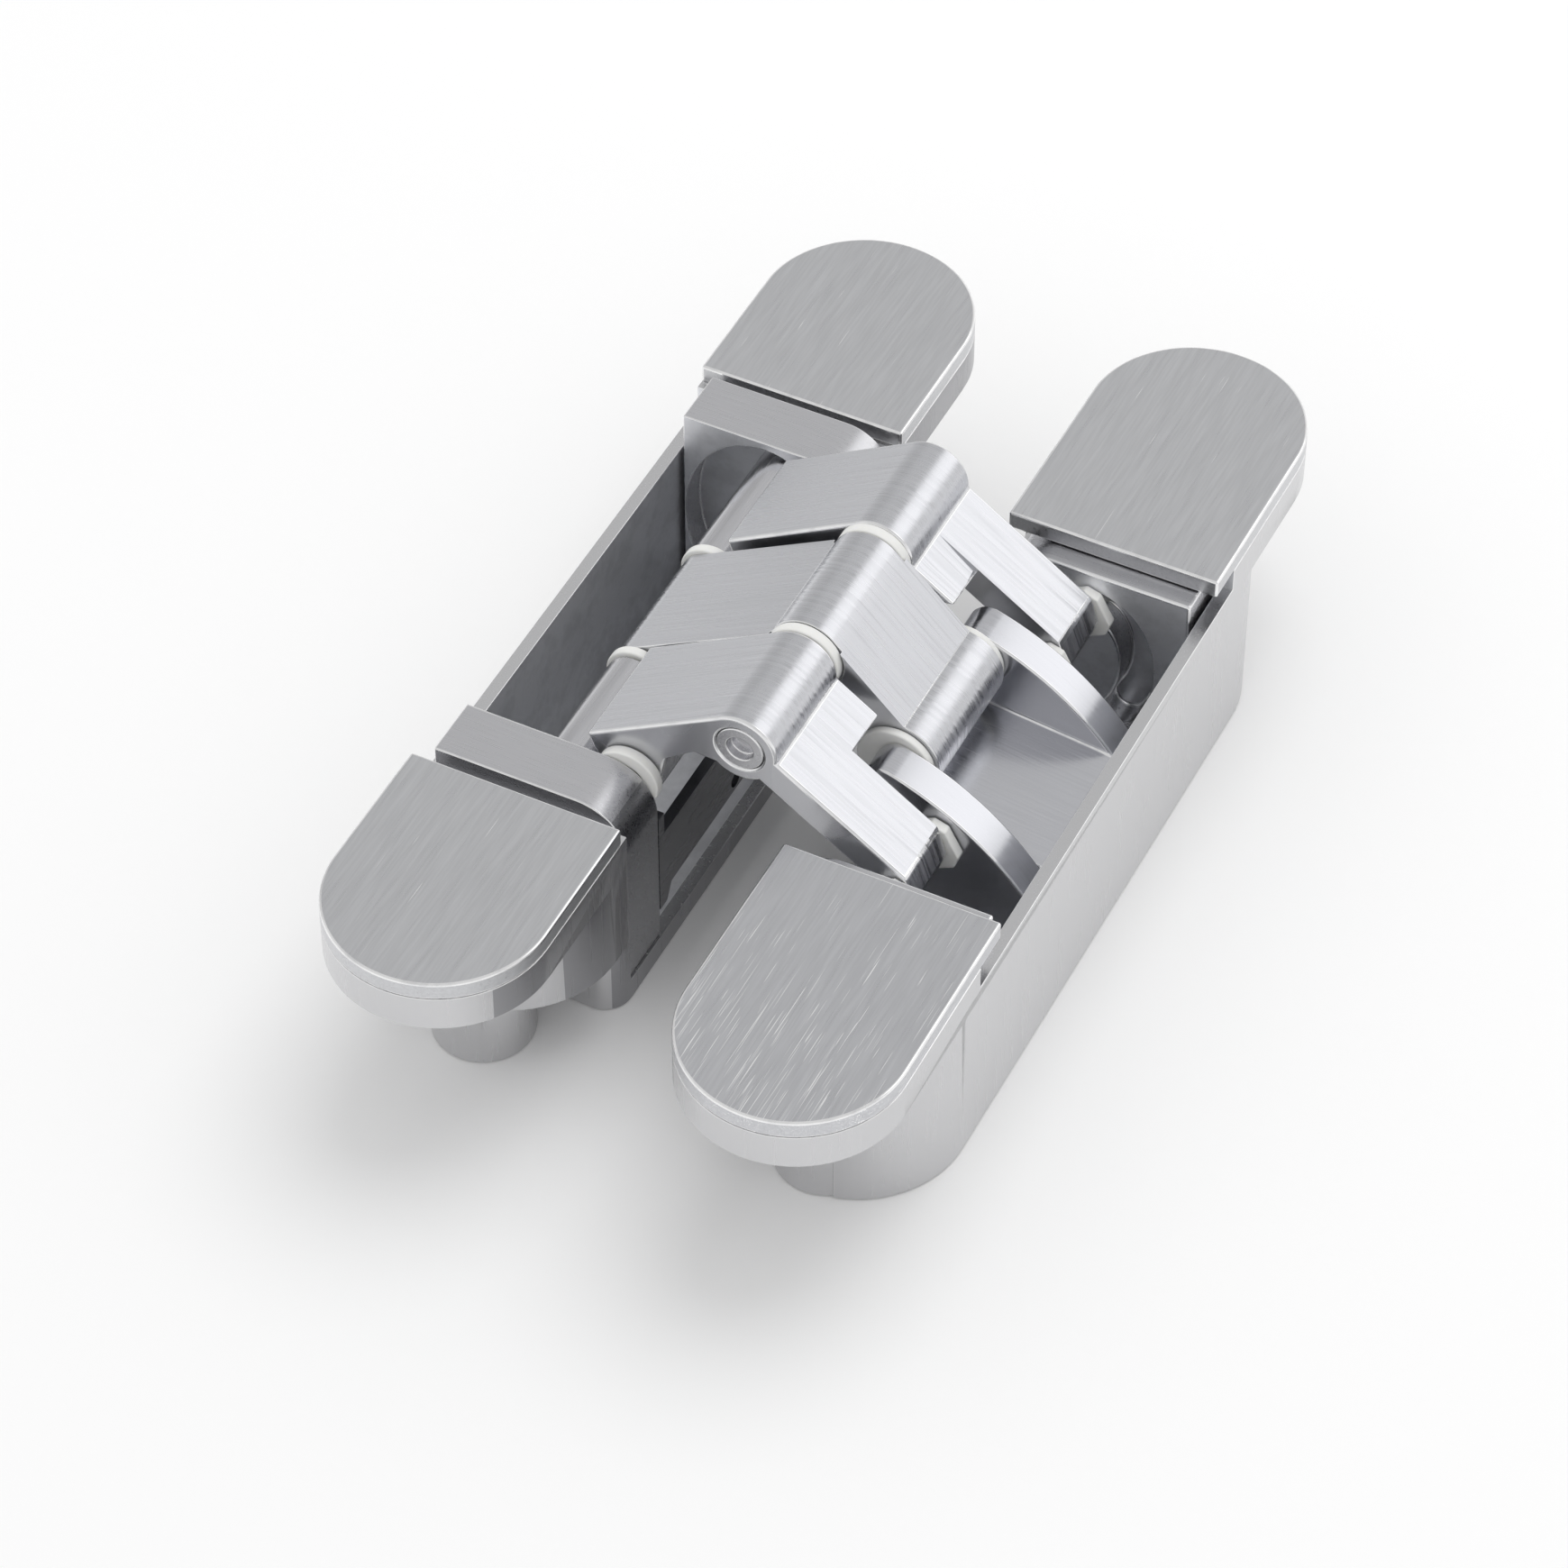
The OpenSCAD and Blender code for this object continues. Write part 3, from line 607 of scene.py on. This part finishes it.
def make_screw_tree():
    """A countersunk screw, head down: cone, core, a real thread and a six-sided socket."""
    thread_depth, socket_depth, overlap = 0.6, 1.4, 0.8
    tree, given = new_group("countersunk_screws", [
        ("Places", "shape", None), ("Head", "float", 0.0054), ("Sink", "float", 0.0012),
        ("Shank", "float", 0.003), ("Length", "float", 0.005), ("Pitch", "float", 0.0005),
        ("Socket", "float", 0.0021), ("Seed", "whole", 7), ("Finish", "finish", None)],
        [("Screws", "shape")], "GeometryNodeTree")
    shank_radius = half(tree, given["Shank"])
    core = difference(tree, shank_radius, product(tree, given["Pitch"], thread_depth))
    head = add_node(tree, "GeometryNodeMeshCone", {
        "Vertices": 48, "Radius Top": shank_radius, "Radius Bottom": half(tree, given["Head"]),
        "Depth": given["Sink"]})
    hexagon = add_node(tree, "GeometryNodeMeshCylinder", {
        "Vertices": 6, "Radius": half(tree, given["Socket"]),
        "Depth": product(tree, given["Sink"], socket_depth)})
    drilled = add_node(tree, "GeometryNodeMeshBoolean", {
        0: head.outputs["Mesh"], 1: hexagon.outputs["Mesh"]}, operation="DIFFERENCE")
    bar_length = difference(tree, given["Length"], product(tree, given["Sink"], overlap))
    bar = add_node(tree, "GeometryNodeMeshCylinder", {
        "Vertices": 32, "Radius": core, "Depth": bar_length})
    shank = lifted(tree, bar, difference(tree, given["Length"], half(tree, bar_length)))
    climb = difference(tree, difference(tree, given["Length"], given["Sink"]), given["Pitch"])
    crest = half(tree, given["Pitch"])
    spine = difference(tree, shank_radius, crest)
    helix = add_node(tree, "GeometryNodeCurveSpiral", {
        "Resolution": 24, "Rotations": maths(tree, "DIVIDE", climb, given["Pitch"]),
        "Start Radius": spine, "End Radius": spine, "Height": climb})
    tooth = add_node(tree, "GeometryNodeCurvePrimitiveCircle", {"Resolution": 4, "Radius": crest})
    thread = add_node(tree, "GeometryNodeCurveToMesh", {
        "Curve": helix.outputs["Curve"], "Profile Curve": tooth.outputs["Curve"], "Fill Caps": True})
    raised = lifted(tree, thread, total(tree, given["Sink"], crest))
    whole = tree.nodes.new("GeometryNodeJoinGeometry")
    for part in (raised, shank, drilled.outputs["Mesh"]):
        tree.links.new(part, whole.inputs[0])
    any_angle = add_node(tree, "FunctionNodeRandomValue", {
        1: (0, 0, math.tau), "Seed": given["Seed"]}, data_type="FLOAT_VECTOR")
    set_down(tree, whole.outputs["Geometry"], given, any_angle.outputs[0])
    return tree


RINGS = make_ring_tree()
SCREWS = make_screw_tree()


def grow(name, tree, places, finish, **sizes):
    """A plain mesh from a geometry tree; places and sizes are in millimetres."""
    mesh = bpy.data.meshes.new(name)
    mesh.from_pydata([tuple(value * MM for value in place) for place in places], [], [])
    piece = link_new(name, mesh)
    growth = piece.modifiers.new("growth", "NODES")
    growth.node_group = tree
    for entry in tree.interface.items_tree:
        if entry.in_out == "INPUT" and entry.name in sizes:
            growth[entry.identifier] = sizes[entry.name] * MM
        elif entry.in_out == "INPUT" and entry.name == "Finish":
            growth[entry.identifier] = finish
    make_plain(piece)
    return piece


# Pocket of each housing, where the casting is left raw, and the sides at the gap, which get painted shade
POCKET_END = 41.6 * MM
POCKET_NEAR = 12.0 * MM
POCKET_FAR = 40.3 * MM
POCKET_FLOOR = 1 * MM
GAP_NEAR = 13 * MM
FACING = 0.7


def in_pocket(face):
    x, y, z = face.center
    return abs(y) < POCKET_END and POCKET_NEAR < abs(x) < POCKET_FAR and z > POCKET_FLOOR


def faces_gap_in_shade(face):
    """The sides that look at the other half of the hinge, which get a painted shade colour."""
    towards, place = face.normal.x, face.center.x
    return abs(towards) > FACING and towards * place < 0 and abs(place) < GAP_NEAR


def faces_pocket(face):
    """The side of a block that looks into the pocket."""
    return face.normal.y * face.center.y < 0 and abs(face.normal.y) > FACING


# Plate across the gap side of the left housing, between its blocks (millimetres, seen along X)
BRIDGE_X = (-12.12, -10.52)
BRIDGE_SIDE = [(31.9, 8.5), (31.9, 26.5), (30.3, 26.5), (30.3, 22.5)]
BRIDGE_FOOT = [(28.5, 11.1), (29.9, 8.5)]
BRIDGE_HOLES = ((-9.0, 13.0), (9.0, 13.0))
BRIDGE_HOLE_RADIUS = 1.3
BRIDGE_CUTTER = 4
BRIDGE_EDGE = 0.25
BRIDGE_EDGE_STEPS = 2


def plain_solid(name, shape, finish):
    """A piece from a bmesh, which is used up."""
    mesh = bpy.data.meshes.new(name)
    shape.to_mesh(mesh)
    shape.free()
    mesh.materials.append(finish)
    return link_new(name, mesh)


def bridge_plate(finish):
    """The plate as one extruded outline, with two round holes cut through it."""
    outline = BRIDGE_SIDE + [(-y, z) for y, z in reversed(BRIDGE_SIDE)]
    outline += [(-y, z) for y, z in reversed(BRIDGE_FOOT)] + BRIDGE_FOOT
    shape = bmesh.new()
    near = [shape.verts.new((BRIDGE_X[0] * MM, y * MM, z * MM)) for y, z in outline]
    front = shape.faces.new(near)
    pushed = bmesh.ops.extrude_face_region(shape, geom=[front])["geom"]
    for part in pushed:
        if isinstance(part, bmesh.types.BMVert):
            part.co.x = BRIDGE_X[1] * MM
    bmesh.ops.recalc_face_normals(shape, faces=shape.faces)
    plate = plain_solid("bridge_plate", shape, finish)
    cutters = []
    for y, z in BRIDGE_HOLES:
        hole = bmesh.new()
        bmesh.ops.create_cone(hole, cap_ends=True, segments=32, radius1=BRIDGE_HOLE_RADIUS * MM,
                              radius2=BRIDGE_HOLE_RADIUS * MM, depth=BRIDGE_CUTTER * MM)
        bmesh.ops.rotate(hole, verts=hole.verts, matrix=Matrix.Rotation(math.pi / 2, 3, "Y"))
        bmesh.ops.translate(hole, verts=hole.verts, vec=(sum(BRIDGE_X) / 2 * MM, y * MM, z * MM))
        cutter = plain_solid("bridge_hole", hole, finish)
        cut = plate.modifiers.new("hole", "BOOLEAN")
        cut.operation = "DIFFERENCE"
        cut.object = cutter
        cutters.append(cutter)
    soft = plate.modifiers.new("edges", "BEVEL")
    soft.width = BRIDGE_EDGE * MM
    soft.segments = BRIDGE_EDGE_STEPS
    soft.limit_method = "ANGLE"
    make_plain(plate)
    for cutter in cutters:
        bpy.data.objects.remove(cutter)
    return plate


# Rings in pairs, one each side of the middle: axis X and Z, bore, outside, and Y from and to
PAIRS = {
    "ridge_washers": ((0.9, 44.0), 5.1, 11.0, 9.8, 11.525),
    "left_pivot_washers": ((-15.4, 32.2), 5.1, 9.6, 30.15, 31.85),
    "right_pivot_washers": ((15.1, 30.7), 5.1, 11.4, 10.375, 11.675),
    "left_slide_washers": ((-24.3, 29.5), 5.1, 9.4, 10.45, 12.0),
    "left_slide_sleeves": ((-24.3, 29.5), 5.1, 8.4, 12.15, 35.8),
}
# Screws through the floors of the housings, heads down: X and Y of each
SCREW_PLACES = {
    "left_block_screws": [(-x, y) for x in (17.26, 35.18) for y in (-36.65, 36.65)],
    "right_block_screws": [(x, y) for x in (17.26, 35.18) for y in (-36.65, 36.65)],
    "carrier_screws": [(26.22, -14.675), (26.22, 14.675)],
}


def rings(node, finish):
    (x, z), bore, outside, near, far = PAIRS[node]
    middle = (near + far) / 2
    return grow(node + "_grown", RINGS, [(x, -middle, z), (x, middle, z)], finish,
                Bore=bore, Outside=outside, Thickness=far - near)


def screws(node, finish):
    return grow(node + "_grown", SCREWS, [(x, y, 0) for x, y in SCREW_PLACES[node]], finish)


for node, slot_name in SLOT_OF.items():
    if node in PAIRS:
        piece = rings(node, MATERIALS[slot_name])
    elif node in SCREW_PLACES:
        piece = screws(node, MATERIALS[slot_name])
    else:
        finish = WORN_CAP if node == "right_cap_front" else MATERIALS[slot_name]
        piece = rounded(node, EDGE[slot_name] * MM, finish)
    if slot_name == "housing_zinc":
        mark(piece.data, "inside", in_pocket)
    if slot_name == "block_brushed":
        mark(piece.data, "inside", faces_pocket)
    if slot_name in ("housing_zinc", "block_brushed"):
        # Painted shade on the sides at the gap
        mark(piece.data, "gap", faces_gap_in_shade)
    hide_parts(node)
    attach(piece, BODY_OF[node])

# The bridge plate's dark colour is painted shade
bridge = bridge_plate(PAINTED_SHADE_PLATE)
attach(bridge, "left_unit")

scene.view_settings.view_transform = "Standard"
